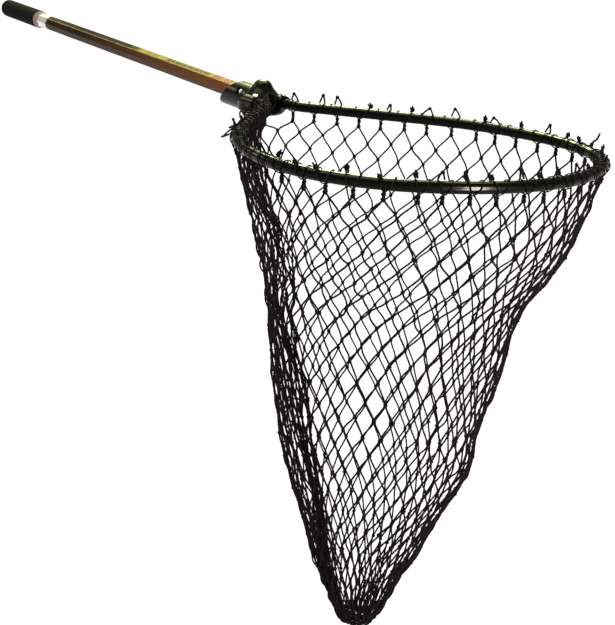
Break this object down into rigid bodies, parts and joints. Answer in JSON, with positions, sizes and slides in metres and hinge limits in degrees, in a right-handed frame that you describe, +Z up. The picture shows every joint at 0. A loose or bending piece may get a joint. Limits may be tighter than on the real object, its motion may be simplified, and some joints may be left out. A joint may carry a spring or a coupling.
{
  "type": "landing net",
  "caption": "Landing net: pear-shaped tube hoop with a deep knotted net bag, on a moulded yoke that slides along an octagonal handle with a foam grip and a snap button.",
  "frame": {"origin": "middle of the hand grip, on the handle's axis", "axes": "+X along the handle from the grip to the hoop, +Z up with the hoop level and the net hanging towards -Z, +Y to the left when looking along +X"},
  "size_m": [1.6977, 0.5298, 0.7955],
  "materials": {
    "bronze_tube": "satin",
    "bare_aluminium": "satin",
    "foam_grip": "matte",
    "grip_ring": "satin",
    "black_plastic": "satin",
    "yoke_plastic": "satin",
    "hoop_black": "gloss",
    "bright_metal": "polished",
    "blackened_steel": "satin",
    "film_gold": "satin",
    "film_dark": "satin",
    "film_red": "satin",
    "twine": "matte"
  },
  "bodies": {
    "handle": {"handle_tube": "bronze_tube", "handle_rear_plug": "black_plastic", "handle_front_plug": "black_plastic", "handle_plug_rivet": "blackened_steel", "grip_sleeve": "foam_grip", "grip_end_cap": "foam_grip", "grip_front_ring": "grip_ring", "handle_bare_band": "bare_aluminium", "film_gold": "film_gold", "film_dark": "film_dark", "film_red": "film_red", "button_spring": "bright_metal"},
    "button": {"snap_button": "bright_metal"},
    "head": {"yoke_hub": "yoke_plastic", "bushing_rear": "black_plastic", "bushing_front": "black_plastic", "hoop_screw_near": "bright_metal", "hoop_screw_far": "bright_metal", "hoop_tube": "hoop_black", "hoop_plug_near": "black_plastic", "hoop_plug_far": "black_plastic", "whipping_near": "twine", "net_ties": "twine", "net_bag": "twine", "net_gather": "twine"}
  },
  "joints": [
    {"name": "head_slide", "type": "slide", "parent": "handle", "child": "head", "axis": [-1, 0, 0], "range_m": [0, 0.62]},
    {"name": "button_press", "type": "slide", "parent": "handle", "child": "button", "axis": [0, 0.9239, -0.3827], "range_m": [0, 0.0054], "stiffness_N_per_m": 900, "springref_m": -0.002, "deforming": ["button_spring"]}
  ]
}
